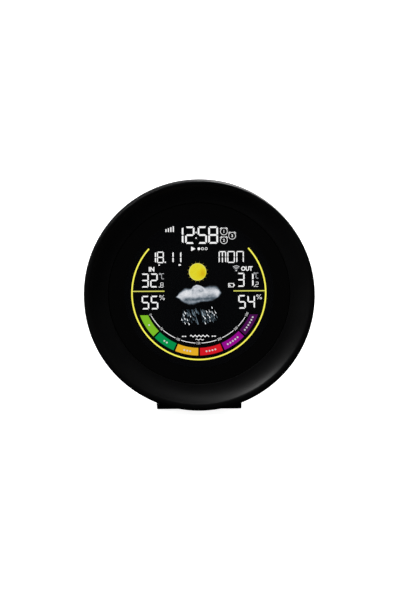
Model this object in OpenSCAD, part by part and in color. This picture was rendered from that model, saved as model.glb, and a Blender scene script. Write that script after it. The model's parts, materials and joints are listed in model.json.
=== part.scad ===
// Round table-top weather station: dished case ring, flat window, colour display stack,
// electronics, rear housing with buttons and battery door, and a fold-out stand.
// Sizes in millimetres, +Z up, the display faces -Y.
// The origin is on the table, at the middle of the outline.

/* [Case] */
// Outer radius of the case
case_r = 95; // [90:1:100]
// How far the case leans back, in degrees
lean = 8; // [4:1:12]
// Height of the case's middle over the table
centre_height = 98.3; // [98:0.1:104]
// Depth of the case from the crest of the ring to the flat back
case_depth = 34; // [33:1:38]
// Depth of the front ring's side wall
ring_depth = 12; // [12:0.5:13]
// Thickness of the rear housing's walls
wall = 2; // [1.6:0.1:2.4]
// Radius of the round-over from the side wall to the back
back_round = 14; // [12:1:14]

/* [Window and dish] */
// Radius of the window
lens_r = 75; // [73:0.5:76]
// Thickness of the window
lens_t = 2; // [1.5:0.1:2]
// How far the window sits above the middle of the case
dish_rise = 1.5; // [0:0.1:1.6]
// Radius of the hollow sweep of the dish
dish_sweep = 22.4; // [20:0.1:23]
// Radius of the lip between the dish and the crest
lip_r = 3; // [2.5:0.1:3.5]

/* [Display] */
// Half of the display's width
lcd_half = 62.8; // [62:0.1:63]
// Thickness of one sheet of display glass
glass_t = 1.1; // [0.7:0.1:1.1]
// Thickness of the light guide
guide_t = 3; // [2:0.5:3]
// Number of lamps on each side of the light guide
lamps = 5; // [3:1:6]

/* [Board] */
// Half of the board's width
board_half = 64; // [60:1:66]
// Thickness of the board
board_t = 1.6; // [1.2:0.2:1.6]

/* [Buttons] */
// Radius of a round button
button_r = 4; // [3.5:0.1:4.5]
// How far a button stands out of the back
button_proud = 1; // [0.9:0.1:1.5]
// How far a button travels
button_travel = 0.8; // [0.4:0.1:0.9]
// Distance of the two button columns from the middle
button_x = 57; // [54:1:58]
// Height steps of the buttons in a column
button_pitch = 18; // [14:1:20]

/* [Stand] */
// Width of the stand
stand_w = 70; // [60:1:72]
// Length of the stand behind its hinge
stand_l = 50; // [45:1:55]
// Thickness of the stand's plate
stand_t = 4.5; // [4:0.1:4.5]
// How far the stand reaches in front of its hinge
stand_front = 6.8; // [6:0.1:7]
// How far the rubber strips stand out under the stand
pad_proud = 0.5; // [0.4:0.1:0.6]
// Radius of the hinge pins
pin_r = 1.5; // [1.2:0.1:1.6]

/* [Hidden] */
$fn = 96;

black = [0.05, 0.05, 0.055];
black_gloss = [0.02, 0.02, 0.022];
rubber = [0.09, 0.09, 0.09];
steel = [0.72, 0.73, 0.75];
gold = [0.83, 0.68, 0.35];
white = [0.92, 0.92, 0.9];
board_green = [0.07, 0.28, 0.16];
chip_black = [0.12, 0.12, 0.13];

// The dish, from its bottom at the window to the crest
dish_turn = 42;
dish_y = dish_sweep * (1 - cos(dish_turn)) + lip_r * (1 - cos(dish_turn));
crest_r = lens_r + (dish_sweep + lip_r) * sin(dish_turn);
edge_round = 2.2;
edge_steps = 16;
sweep_steps = 20;
lip_steps = 10;

// Hollow of the ring behind the dish: radius and depth of its skin, from the outside in
hollow_skin = [[91, 5.2], [89.6, 3.4], [88, 4], [84, 6.3], [80, 8.3], [77.2, 9.3]];
hollow_out_r = 91;
hollow_in_r = 77.2;
hollow_end_y = ring_depth + 1.5;

// Flange and lip of the rear housing that seat in the front ring
seat_flange_r = 94;
seat_flange_in_r = 88.8;
seat_flange_t = 1.6;
seat_lip_r = 90.8;
seat_lip_in_r = 89;
seat_lip_reach = 2.5;

// The stack behind the window, from front to back; each value is a distance behind the crest
lens_step = 0.8;
lens_y = dish_y + lens_step;
tape_y = lens_y + lens_t;
tape_t = 0.3;
tape_w = 6;
ledge_y = tape_y + tape_t;
ledge_t = 2;
ledge_r = 64;
film_t = 0.2;
pol_front_y = ledge_y + ledge_t + 0.2;
glass_front_y = pol_front_y + film_t;
glass_rear_y = glass_front_y + glass_t;
pol_rear_y = glass_rear_y + glass_t;
colour_y = pol_rear_y + film_t;
diffuser_y = colour_y + film_t;
guide_y = diffuser_y + film_t + 0.1;
reflector_y = guide_y + guide_t;
tray_y = reflector_y + film_t + 0.1;
tray_t = 1.4;
board_y = tray_y + tray_t + 0.5;
parts_y = board_y + board_t;
back_in_y = case_depth - wall;

// Outlines of the display stack: half widths and the sum of x and z at the cut corners
stack_cut = 94;
cavity_half = lcd_half + 0.3;
cavity_cut = stack_cut + 0.6;
tray_half = 66;
tray_cut = 102;
tray_foot_half = 56;
tray_foot_z = -70;
tray_foot_h = 12;
tray_foot_r = 86.6;
tray_ear_w = 14;
tray_ear_h = 8;
contact_z = -66.8;
contact_half = 52;
zebra_half = 50;
zebra_z = -66;
zebra_t = 2.4;

// Screws: where they sit and how large they are
case_screw_r = 1.25;
case_screw_angles = [15, 60, 120, 165, 220, 320];
case_screw_ring = 84;
case_post_y = 19;
case_head_y = 21;
case_boss_r = 3.6;
case_boss_y = 6.5;
case_post_r = 4.6;
case_well_r = 3.1;
case_head_r = 2.6;
tray_screw_x = 71;
tray_screw_z = 20;
tray_post_y = 15;
tray_boss_r = 2.6;
small_screw_r = 0.9;
board_screw_at = 49.2;

// Clearances: a part pressed into its hole, a screw in a through hole, a button in the back
fit = 0.02;
screw_play = 0.25;
hole_play = 0.15;

// Battery bay in the back
bay_z = 10;
door_r = 14;
door_t = 1.5;
door_play = 0.2;
cell_r = 9.95;
cell_t = 3.2;
bay_floor_y = 28.2;
door_turn = 45;
tab_reach = 1.4;
tab_w = 6;
tab_t = 0.7;
tab_play = 0.3;
tab_side_play = 0.8;
tab_groove_t = 1.1;
bay_wall = 3.2;
bay_floor_t = 1.2;
cell_play = 0.7;
contact_t = 0.3;

// Power inlet in the back
jack_x = 46;
jack_z = -38;
jack_body = 9.6;
jack_collar_r = 4.9;
jack_bore_r = 3.2;
jack_bore_depth = 9.5;
jack_pin_r = 1;

// Buttons on the back, each at [x, z]
button_top_z = 30;
button_spots = [for (side = [-1, 1]) for (i = [0 : 2])
    [side * button_x, button_top_z - i * button_pitch]];
snooze_spot = [0, 46];
snooze_w = 34;
flange_reach = 1.2;
button_step = 0.5;
button_edge = 0.4;
mark_depth = 0.3;
mark_w = 4;
mark_r = 0.4;
dot_pitch = 1.6;
stem_r = 1.6;
switch_t = 3.6;
switch_w = 6;

// Vents in the back
vent_x = -46;
vent_top_z = -30;
vent_pitch = 4.5;
vent_w = 18;
vent_r = 0.8;

// The stand and its hinge, in the case's own upright frame
hinge_y = 26;
stand_drop = centre_height - hinge_y * sin(lean);
plate_gap = 0.3;
hinge_h = case_depth - hinge_y + plate_gap + stand_t + pad_proud;
hinge_z = (hinge_h - stand_drop) / cos(lean);
barrel_r = 4.5;
barrel_half = 26;
pin_in = 20;
pin_out = 31;
pocket_y = hinge_y - stand_front - 0.6;
pocket_half = barrel_half + 0.5;
pocket_top = hinge_z + barrel_r + 1.2;
lug_r = 3;
web_fillet = 0.8;
pad_inlay = 0.8;

// Places the case on the table, with the middle of the whole outline over the origin
hinge_table_y = hinge_y * cos(lean) + hinge_z * sin(lean);
front_y = edge_round * cos(lean) - (case_r - edge_round) * sin(lean) - edge_round;
back_y = hinge_table_y + stand_l;
middle_y = (front_y + back_y) / 2;

// ---- helpers ----

function arc(centre, r, from, to, n) = [for (i = [0 : n])
    centre + r * [cos(from + (to - from) * i / n), sin(from + (to - from) * i / n)]];

// The case's upright frame: crest plane at y = 0, middle of the case at the origin
module in_case() {
    translate([0, -middle_y, centre_height]) rotate([-lean, 0, 0]) children();
}

// Draws a flat outline of x and z, and gives it depth from y = a to y = b
module slab(a, b) {
    translate([0, b, 0]) rotate([90, 0, 0]) linear_extrude(b - a) children();
}

// A round bar along y
module rod(r, a, b, x = 0, z = 0) {
    slab(a, b) translate([x, z]) circle(r);
}

// A block with its faces along y at a and b
module block(w, h, a, b, x = 0, z = 0) {
    slab(a, b) translate([x - w / 2, z - h / 2]) square([w, h]);
}

// Turns an outline of radius and depth about y
module turned(points) {
    rotate([-90, 0, 0]) rotate_extrude($fn = 192) polygon(points);
}

module cut_square(half, cut) {
    rest = cut - half;
    polygon([[half, -rest], [half, rest], [rest, half], [-rest, half],
        [-half, rest], [-half, -rest], [-rest, -half], [rest, -half]]);
}

module bar_outline(w, r) {
    square([w - 2 * r, 2 * r], center = true);
    for (side = [-1, 1]) translate([side * (w / 2 - r), 0]) circle(r);
}

module at_case_screws() {
    for (a = case_screw_angles)
        translate([case_screw_ring * cos(a), 0, case_screw_ring * sin(a)]) children();
}

module at_tray_screws() {
    for (x = [-1, 1]) for (z = [-1, 1])
        translate([x * tray_screw_x, 0, z * tray_screw_z]) children();
}

module at_board_screws() {
    for (x = [-1, 1]) for (z = [-1, 1])
        translate([x * board_screw_at, 0, z * board_screw_at]) children();
}

module screw(r, head_r, head_t, tip_y, head_y) {
    rod(r, tip_y, head_y + 0.1);
    difference() {
        rod(head_r, head_y, head_y + head_t);
        block(head_r * 1.1, r * 0.45, head_y + head_t * 0.5, head_y + head_t + 1);
        block(r * 0.45, head_r * 1.1, head_y + head_t * 0.5, head_y + head_t + 1);
    }
}

// ---- case ----

module bezel_blank() {
    turned(concat([[0, ring_depth], [0, 0]],
        arc([case_r - edge_round, edge_round], edge_round, -90, 0, edge_steps),
        [[case_r, ring_depth]]));
}

module dish_cut() {
    sweep = arc([lens_r, dish_y - dish_sweep], dish_sweep, 90, 90 - dish_turn, sweep_steps);
    lip = arc([crest_r, lip_r], lip_r, 270 - dish_turn, 270, lip_steps);
    turned(concat([[0, ledge_y], [lens_r, ledge_y]], sweep, lip, [[crest_r, -1], [0, -1]]));
}

module ring_hollow() {
    turned(concat([[hollow_out_r, hollow_end_y]], hollow_skin, [[hollow_in_r, hollow_end_y]]));
}

module front_bezel() {
    color(black) in_case() difference() {
        union() {
            difference() {
                bezel_blank();
                translate([0, 0, dish_rise]) {
                    dish_cut();
                    ring_hollow();
                }
                rod(hollow_in_r + dish_rise + 0.1, ledge_y + ledge_t, ring_depth + 1);
                translate([0, 0, dish_rise]) rod(ledge_r, ledge_y - 1, ring_depth + 1);
            }
            at_case_screws() rod(case_boss_r, case_boss_y, case_post_y - 0.1);
            at_tray_screws() rod(tray_boss_r, ledge_y + ledge_t - 0.2, tray_post_y);
        }
        at_case_screws() rod(case_screw_r + fit, case_head_y - 11.5, case_post_y + 1);
        at_tray_screws() rod(small_screw_r + fit, ledge_y + 0.8, tray_post_y + 1);
    }
}

module display_lens() {
    soft = 0.35;
    r = lens_r - hole_play;
    color(black_gloss) in_case() translate([0, 0, dish_rise])
        turned([[0, tape_y], [0, lens_y], [r - soft, lens_y], [r, lens_y + soft], [r, tape_y]]);
}

module lens_adhesive() {
    color(chip_black) in_case() translate([0, 0, dish_rise])
        slab(tape_y, ledge_y) difference() {
            circle(lens_r - 0.6);
            circle(lens_r - tape_w);
        }
}

module back_blank(inset, start_y) {
    r = case_r - 0.5 - inset;
    round = back_round - inset;
    turned(concat([[0, start_y], [r, start_y]],
        arc([r - round, case_depth - back_round], round, 0, 90, edge_steps),
        [[0, case_depth - inset]]));
}

module stand_pocket(grow) {
    half = pocket_half + grow;
    front = pocket_y - grow;
    top = pocket_top + grow;
    translate([-half, front, -case_r - 5]) cube([2 * half, case_depth, top + case_r + 5]);
}

module hinge_bar(r, from, to) {
    for (side = [0, 1]) mirror([side, 0, 0])
        translate([from, hinge_y, hinge_z]) rotate([0, 90, 0]) cylinder(r = r, h = to - from);
}

module housing_shell() {
    difference() {
        back_blank(0, ring_depth);
        difference() {
            back_blank(wall, ring_depth - 1);
            stand_pocket(wall);
        }
        stand_pocket(0);
    }
    slab(ring_depth, ring_depth + seat_flange_t) difference() {
        circle(seat_flange_r);
        translate([0, dish_rise]) circle(seat_flange_in_r);
    }
    translate([0, 0, dish_rise]) slab(ring_depth - seat_lip_reach, ring_depth + 0.5) difference() {
        circle(seat_lip_r);
        circle(seat_lip_in_r);
    }
}

module battery_bay() {
    rod(door_r + bay_wall, bay_floor_y - bay_floor_t, case_depth - 0.5, 0, bay_z);
}

module battery_bay_cut() {
    seat_y = case_depth - door_t - tab_play;
    rod(door_r + door_play, seat_y, case_depth + 1, 0, bay_z);
    rod(cell_r + cell_play, bay_floor_y, case_depth, 0, bay_z);
    // Groove of the bayonet, and the two places where its tabs go in
    rod(door_r + tab_reach + tab_play, seat_y, seat_y + tab_groove_t, 0, bay_z);
    translate([0, 0, bay_z]) intersection() {
        rod(door_r + tab_reach + tab_play, seat_y, case_depth + 1);
        rotate([0, door_turn, 0]) block(60, tab_w + tab_side_play, seat_y, case_depth + 1);
    }
}

module button_holes() {
    slab(back_in_y - 1, case_depth + 1) {
        for (spot = button_spots) translate(spot) circle(button_r + hole_play);
        translate(snooze_spot) bar_outline(snooze_w + 2 * hole_play, button_r + hole_play);
    }
}

module vents() {
    for (i = [0 : 5]) translate([vent_x, 0, vent_top_z - i * vent_pitch])
        slab(back_in_y - 1, case_depth + 1) bar_outline(vent_w, vent_r);
}

module rear_housing() {
    color(black) in_case() difference() {
        union() {
            housing_shell();
            battery_bay();
            hinge_bar(lug_r, pocket_half - 0.1, pin_out + 1);
            intersection() {
                at_case_screws() rod(case_post_r, case_post_y, case_depth);
                back_blank(0, ring_depth);
            }
        }
        at_case_screws() rod(case_screw_r + screw_play, case_post_y - 1, case_depth);
        at_case_screws() rod(case_well_r, case_head_y, case_depth + 5);
        battery_bay_cut();
        button_holes();
        rod(jack_collar_r + hole_play, back_in_y - 1, case_depth + 1, jack_x, jack_z);
        vents();
        hinge_bar(pin_r + fit, pocket_half - 1, pin_out);
    }
}

module case_screws() {
    color(steel) in_case() at_case_screws()
        screw(case_screw_r, case_head_r, 1.9, case_head_y - 10, case_head_y);
}

// ---- display ----

module stack_sheet(y, t) {
    slab(y, y + t) cut_square(lcd_half, stack_cut);
}

module lcd_front_polariser() {
    color([0.1, 0.1, 0.12]) in_case() stack_sheet(pol_front_y, film_t);
}

module lcd_front_glass() {
    color([0.35, 0.4, 0.42]) in_case() stack_sheet(glass_front_y, glass_t);
}

module lcd_rear_glass() {
    color([0.35, 0.4, 0.42]) in_case() slab(glass_rear_y, glass_rear_y + glass_t) {
        cut_square(lcd_half, stack_cut);
        translate([-contact_half, contact_z]) square([2 * contact_half, -contact_z - lcd_half + 5]);
    }
}

module lcd_rear_polariser() {
    color([0.1, 0.1, 0.12]) in_case() stack_sheet(pol_rear_y, film_t);
}

module colour_film() {
    color([0.6, 0.55, 0.25]) in_case() stack_sheet(colour_y, film_t);
}

module diffuser_film() {
    color(white) in_case() stack_sheet(diffuser_y, film_t);
}

module light_guide() {
    color([0.8, 0.9, 0.92]) in_case() slab(guide_y, reflector_y) intersection() {
        cut_square(lcd_half, stack_cut);
        square([120, 130], center = true);
    }
}

module reflector_film() {
    color(white) in_case() stack_sheet(reflector_y, film_t);
}

module backlight_strips() {
    color(white) in_case() for (side = [-1, 1])
        block(1, 58, guide_y + 0.2, reflector_y - 0.2, side * 62.4);
}

module backlight_leds() {
    color([0.95, 0.9, 0.6]) in_case() for (side = [-1, 1]) for (i = [0 : lamps - 1])
        block(1.6, 3.5, guide_y + 0.5, reflector_y - 0.5, side * 61.1, (i - (lamps - 1) / 2) * 11);
}

module tray_outline() {
    cut_square(tray_half, tray_cut);
    intersection() {
        translate([-tray_foot_half, tray_foot_z]) square([2 * tray_foot_half, tray_foot_h]);
        circle(tray_foot_r);
    }
    for (x = [-1, 1]) for (z = [-1, 1]) translate([x * (tray_screw_x - 3), z * tray_screw_z])
        square([tray_ear_w, tray_ear_h], center = true);
}

module lcd_frame() {
    color(white) in_case() difference() {
        slab(pol_front_y, board_y - 0.5) tray_outline();
        slab(pol_front_y - 1, tray_y) cut_square(cavity_half, cavity_cut);
        slab(pol_front_y - 1, tray_y) translate([-contact_half - 0.4, contact_z - 0.4])
            square([2 * contact_half + 0.8, 12]);
        block(2 * zebra_half + 0.6, zebra_t + 0.6, tray_y - 1, board_y, 0, zebra_z + zebra_t / 2);
        for (x = [-1, 1]) for (z = [-1, 1]) {
            translate([x * (tray_screw_x + 0.6), 0, z * tray_screw_z]) {
                block(9, tray_ear_h + 0.6, pol_front_y - 1, tray_post_y + 0.1);
                block(9, tray_ear_h + 0.6, tray_post_y + 2, board_y);
            }
        }
        at_tray_screws() rod(small_screw_r + screw_play, tray_post_y - 1, tray_post_y + 3);
        at_board_screws() rod(small_screw_r + fit, pol_front_y + 1, board_y);
    }
    color(white) in_case() at_board_screws() difference() {
        rod(2.2, board_y - 0.6, board_y);
        rod(small_screw_r + fit, board_y - 1, board_y + 1);
    }
}

module frame_screws() {
    color(steel) in_case() at_tray_screws()
        screw(small_screw_r, 2, 1.3, ledge_y + 1, tray_post_y + 2);
}

module zebra_connector() {
    color([0.85, 0.55, 0.6]) in_case()
        block(2 * zebra_half, zebra_t, pol_rear_y, board_y, 0, zebra_z + zebra_t / 2);
}

// ---- board and what is on it ----

module main_board() {
    color(board_green) in_case() difference() {
        slab(board_y, parts_y) intersection() {
            cut_square(70, 108);
            translate([-board_half, -68]) square([2 * board_half, 122]);
        }
        at_board_screws() rod(small_screw_r + 0.2, board_y - 1, parts_y + 1);
    }
}

module board_screws() {
    color(steel) in_case() at_board_screws()
        screw(small_screw_r, 1.9, 1.3, board_y - 6, parts_y);
}

module flat_chip(w, h, t, x, z, legs) {
    block(w, h, parts_y + 0.15, parts_y + t, x, z);
    for (side = [-1, 1]) for (i = [0 : legs - 1])
        translate([0, 0, z + (i - (legs - 1) / 2) * h / legs])
            block(1.2, h / legs * 0.4, parts_y, parts_y + 0.5, x + side * (w / 2 + 0.5));
}

module processor_chip() {
    color(chip_black) in_case() flat_chip(w = 14, h = 14, t = 1.5, x = -4, z = -22, legs = 12);
}

module memory_chip() {
    color(chip_black) in_case() flat_chip(w = 4, h = 5, t = 1.6, x = -22, z = -30, legs = 4);
}

module lcd_driver_chip() {
    color(chip_black) in_case() flat_chip(w = 10, h = 10, t = 1.3, x = 0, z = -50, legs = 8);
}

module voltage_regulator() {
    color(chip_black) in_case() flat_chip(w = 3.6, h = 6.5, t = 1.7, x = 36, z = -24, legs = 3);
}

module crystal() {
    color(steel) in_case() slab(parts_y, parts_y + 3.5) translate([14, -10]) bar_outline(11, 2.3);
}

module capacitors() {
    color([0.2, 0.22, 0.4]) in_case() for (spot = [[30, -38], [24, -50]]) {
        rod(3.15, parts_y + 0.3, parts_y + 7, spot[0], spot[1]);
        block(6.6, 6.6, parts_y, parts_y + 0.9, spot[0], spot[1]);
    }
}

module buzzer() {
    color(chip_black) in_case() difference() {
        rod(6, parts_y, parts_y + 7.5, -22, -48);
        rod(1.2, parts_y + 5.5, parts_y + 8, -22, -48);
    }
}

module wifi_module() {
    color([0.15, 0.2, 0.3]) in_case() block(18, 24, parts_y, parts_y + 0.8, -32, 26);
    color(steel) in_case() block(15.5, 16, parts_y + 0.7, parts_y + 3.1, -32, 22.5);
}

module radio_receiver() {
    color([0.1, 0.3, 0.2]) in_case() block(12, 28, parts_y, parts_y + 1, 34, 26);
    color(chip_black) in_case() block(5, 6, parts_y + 0.9, parts_y + 2.4, 34, 24);
}

// Helical aerial, swept as one tube round a coil
module radio_antenna() {
    turns = 7;
    per_turn = 14;
    sides = 8;
    coil_r = 2.4;
    wire_r = 0.45;
    pitch = 2.6;
    steps = turns * per_turn;
    rings = [for (i = [0 : steps]) let (a = i * 360 / per_turn)
        [for (k = [0 : sides - 1]) let (b = k * 360 / sides, d = coil_r + wire_r * cos(b))
            [d * cos(a), d * sin(a), i * pitch / per_turn + wire_r * sin(b)]]];
    points = [for (ring = rings) for (p = ring) p];
    skin = [for (i = [0 : steps - 1]) for (k = [0 : sides - 1]) let (n = (k + 1) % sides)
        [i * sides + k, (i + 1) * sides + k, (i + 1) * sides + n, i * sides + n]];
    caps = [[for (k = [0 : sides - 1]) k], [for (k = [sides - 1 : -1 : 0]) steps * sides + k]];
    color(gold) in_case() translate([34, parts_y + 5.2, 2]) rotate([0, 180, 0])
        polyhedron(points, concat(skin, caps));
}

module climate_sensor() {
    color(white) in_case() difference() {
        block(5, 5, parts_y, parts_y + 1.6, -46, -42);
        rod(1, parts_y + 1, parts_y + 2, -46, -42);
    }
}

module tact_switch(spot) {
    difference() {
        block(switch_w, switch_w, parts_y, parts_y + switch_t, spot[0], spot[1]);
        rod(stem_r + 0.3, parts_y + switch_t - 2, parts_y + switch_t + 1, spot[0], spot[1]);
    }
}

module tact_switches() {
    color(chip_black) in_case() for (spot = concat(button_spots, [snooze_spot])) tact_switch(spot);
}

module power_jack() {
    color(chip_black) in_case() difference() {
        union() {
            block(jack_body, jack_body, parts_y, back_in_y - 1.4, jack_x, jack_z);
            rod(jack_collar_r, back_in_y - 1.5, case_depth - 0.1, jack_x, jack_z);
        }
        rod(jack_bore_r, case_depth - jack_bore_depth, case_depth + 1, jack_x, jack_z);
        rod(jack_pin_r + fit, case_depth - jack_bore_depth - 1.2, case_depth, jack_x, jack_z);
    }
}

module power_jack_pin() {
    color(gold) in_case()
        rod(jack_pin_r, case_depth - jack_bore_depth - 1, case_depth - 1.2, jack_x, jack_z);
}

// ---- battery bay ----

module coin_cell() {
    y = bay_floor_y + 0.35;
    color(steel) in_case() {
        rod(cell_r - 1.1, y, y + 0.5, 0, bay_z);
        rod(cell_r, y + 0.4, y + cell_t, 0, bay_z);
    }
}

module cell_minus_contact() {
    color(gold) in_case() block(12, 5, bay_floor_y + fit, bay_floor_y + contact_t, 0, bay_z);
}

module cell_plus_contact() {
    z = bay_z - cell_r - contact_t;
    color(gold) in_case() block(3.6, contact_t, bay_floor_y + fit, bay_floor_y + cell_t, 0, z);
}

module battery_door() {
    low = case_depth - door_t;
    color(black) in_case() translate([0, 0, bay_z]) difference() {
        union() {
            rod(door_r, low, case_depth);
            intersection() {
                rod(door_r + tab_reach, low, low + tab_t);
                block(60, tab_w, low - 1, low + 2);
            }
        }
        slab(case_depth - 0.8, case_depth + 1) bar_outline(16, 0.9);
    }
}

// ---- buttons ----

// A button with its flange behind the back wall and its stem on the switch; children are the
// outline of a mark pressed into its face
module button_at(spot, w) {
    top = case_depth + button_proud;
    flange_y = back_in_y - 0.2;
    color(chip_black) in_case() translate([spot[0], 0, spot[1]]) difference() {
        union() {
            slab(flange_y - 1, top - button_step) bar_outline(w, button_r);
            slab(top - button_step - 0.1, top)
                bar_outline(w - 2 * button_edge, button_r - button_edge);
            slab(flange_y - 1.1, flange_y)
                bar_outline(w + 2 * flange_reach, button_r + flange_reach);
            rod(stem_r, parts_y + switch_t - 0.5, back_in_y - 1);
        }
        slab(top - mark_depth, top + 1) children();
    }
}

module round_button(i) {
    button_at(button_spots[i], 2 * button_r + 0.01) children();
}

// A row of small dots tells the buttons of the left column apart
module dots_mark(count) {
    for (i = [0 : count - 1]) translate([(i - (count - 1) / 2) * dot_pitch, 0]) circle(mark_r);
}

module minus_mark() {
    bar_outline(mark_w, mark_r);
}

module plus_mark() {
    minus_mark();
    rotate(90) minus_mark();
}

module snooze_button() {
    button_at(snooze_spot, snooze_w) bar_outline(mark_w * 3, mark_r);
}

// ---- stand ----

// Places children in the stand's own frame: hinge axis at the origin, plate level behind it
module at_hinge() {
    translate([0, hinge_table_y - middle_y, hinge_h]) children();
}

module side_profile() {
    low = pad_proud - hinge_h;
    top = low + stand_t;
    circle(barrel_r);
    translate([-stand_front, low]) square([stand_front + barrel_r, -low - 1.5]);
    polygon([[-stand_front, low], [stand_l, low], [stand_l, low + 1.6], [stand_l - 8, top],
        [barrel_r + web_fillet, top], [barrel_r, top + web_fillet], [-stand_front, top]]);
}

module along_x(half) {
    translate([-half, 0, 0]) rotate([90, 0, 90]) linear_extrude(2 * half) children();
}

module stand() {
    low = pad_proud - hinge_h;
    soft = 1;
    rear_round = 9;
    color(black) at_hinge() difference() {
        union() {
            along_x(barrel_half) side_profile();
            intersection() {
                along_x(stand_w / 2) side_profile();
                translate([-stand_w / 2, -20, low]) cube([stand_w, 100, stand_t]);
                // Soft lower corners, seen from the front
                translate([0, 90, 0]) rotate([90, 0, 0]) linear_extrude(120) union() {
                    translate([-stand_w / 2, low + soft]) square([stand_w, 20]);
                    translate([-stand_w / 2 + soft, low]) square([stand_w - 2 * soft, 20]);
                    for (s = [-1, 1])
                        translate([s * (stand_w / 2 - soft), low + soft]) circle(soft);
                }
                // Rounded rear corners, seen from above
                translate([0, 0, -40]) linear_extrude(80) union() {
                    translate([-stand_w / 2, -20]) square([stand_w, stand_l + 20 - rear_round]);
                    translate([-stand_w / 2 + rear_round, -20])
                        square([stand_w - 2 * rear_round, stand_l + 20]);
                    for (s = [-1, 1])
                        translate([s * (stand_w / 2 - rear_round), stand_l - rear_round])
                            circle(rear_round);
                }
            }
        }
        for (s = [0, 1]) mirror([s, 0, 0]) translate([pin_in - 0.5, 0, 0])
            rotate([0, 90, 0]) cylinder(r = pin_r + 0.05, h = 10);
        foot_pad_shapes(0.05);
    }
}

// Two rubber strips let into the underside
module foot_pad_shapes(grow) {
    for (y = [0, stand_l - 11]) translate([0, y, -hinge_h])
        linear_extrude(pad_proud + pad_inlay + grow) bar_outline(56 + 2 * grow, 3 + grow);
}

module foot_pads() {
    color(rubber) at_hinge() foot_pad_shapes(0);
}

module hinge_pins() {
    color(steel) in_case() hinge_bar(pin_r, pin_in, pin_out - 0.1);
}

front_bezel();
display_lens();
lens_adhesive();
lcd_front_polariser();
lcd_front_glass();
lcd_rear_glass();
lcd_rear_polariser();
colour_film();
diffuser_film();
light_guide();
reflector_film();
backlight_strips();
backlight_leds();
lcd_frame();
frame_screws();
zebra_connector();
main_board();
board_screws();
processor_chip();
memory_chip();
lcd_driver_chip();
voltage_regulator();
crystal();
capacitors();
buzzer();
wifi_module();
radio_receiver();
radio_antenna();
climate_sensor();
tact_switches();
power_jack();
power_jack_pin();
coin_cell();
cell_plus_contact();
cell_minus_contact();
battery_door();
rear_housing();
case_screws();
hinge_pins();
stand();
foot_pads();
snooze_button();
round_button(0) dots_mark(1);  // set_button
round_button(1) dots_mark(2);  // alarm_button
round_button(2) dots_mark(3);  // channel_button
round_button(3) plus_mark();  // plus_button
round_button(4) minus_mark();  // minus_button
round_button(5) circle(mark_r * 2);  // sensor_button
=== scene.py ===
"""Round table weather station: the looks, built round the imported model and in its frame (metres, +Z up)."""
import json
import math
import random
import bmesh
import bpy
from mathutils import Matrix, Vector


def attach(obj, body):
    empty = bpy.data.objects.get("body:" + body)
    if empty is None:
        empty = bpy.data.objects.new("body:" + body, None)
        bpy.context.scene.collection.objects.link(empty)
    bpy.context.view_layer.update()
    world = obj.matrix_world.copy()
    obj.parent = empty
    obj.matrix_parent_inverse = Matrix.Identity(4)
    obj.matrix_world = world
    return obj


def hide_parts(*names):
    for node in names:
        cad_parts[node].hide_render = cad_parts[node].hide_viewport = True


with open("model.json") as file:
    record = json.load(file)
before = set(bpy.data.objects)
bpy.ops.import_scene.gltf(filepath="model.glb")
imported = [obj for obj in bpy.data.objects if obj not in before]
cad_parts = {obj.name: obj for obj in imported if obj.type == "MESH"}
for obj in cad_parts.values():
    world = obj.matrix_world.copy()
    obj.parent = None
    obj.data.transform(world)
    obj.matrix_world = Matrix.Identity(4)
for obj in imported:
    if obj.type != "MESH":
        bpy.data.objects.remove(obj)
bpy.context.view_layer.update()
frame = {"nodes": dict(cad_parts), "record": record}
MM = 0.001
NODES = frame["nodes"]

# -------------------- the case's own upright frame
# Millimetres, display facing -Y, middle of the front crest at the origin.
# The power inlet's mount says where that frame sits and how far it leans back.
INLET_IN_CASE = Vector((46, 34, -38)) * MM
inlet = next(m for m in frame["record"]["mounts"] if m["name"] == "power_inlet")
LEAN = math.atan2(-inlet["axis"][2], inlet["axis"][1])
TILT = Matrix.Rotation(-LEAN, 4, "X")
CASE_MIDDLE = Vector(inlet["pos_m"]) - TILT @ INLET_IN_CASE
CASE = Matrix.Translation(CASE_MIDDLE) @ TILT


def case_span(node):
    """Lowest and highest corner of a CAD node in the case's frame, in millimetres."""
    back = CASE.inverted()
    points = [back @ v.co / MM for v in NODES[node].data.vertices]
    low = Vector([min(p[i] for p in points) for i in range(3)])
    high = Vector([max(p[i] for p in points) for i in range(3)])
    return low, high


lens_low, lens_high = case_span("display_lens")
LENS_BACK = lens_high.y
DISH_RISE = (lens_high.z + lens_low.z) / 2
ring_low, ring_high = case_span("front_bezel")
RING_DEPTH = ring_high.y
CASE_R = round((ring_high.x - ring_low.x) / 2, 2)
# Radius of the clear middle of the window: black print covers the rest of its back
WINDOW_R = 61.6

# The display picture is laid out in millimetres from its own middle, just before the front polariser
INK_T = 0.1
INK_LIFT = 0.12
PICTURE_X = -0.2
PICTURE_Y = case_span("lcd_front_polariser")[0].y - INK_LIFT
PICTURE_Z = DISH_RISE + 0.1
PICTURE_SCALE = 0.996


# -------------------- materials
NOISE_MIDDLE = (0.3, 0.7)


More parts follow.
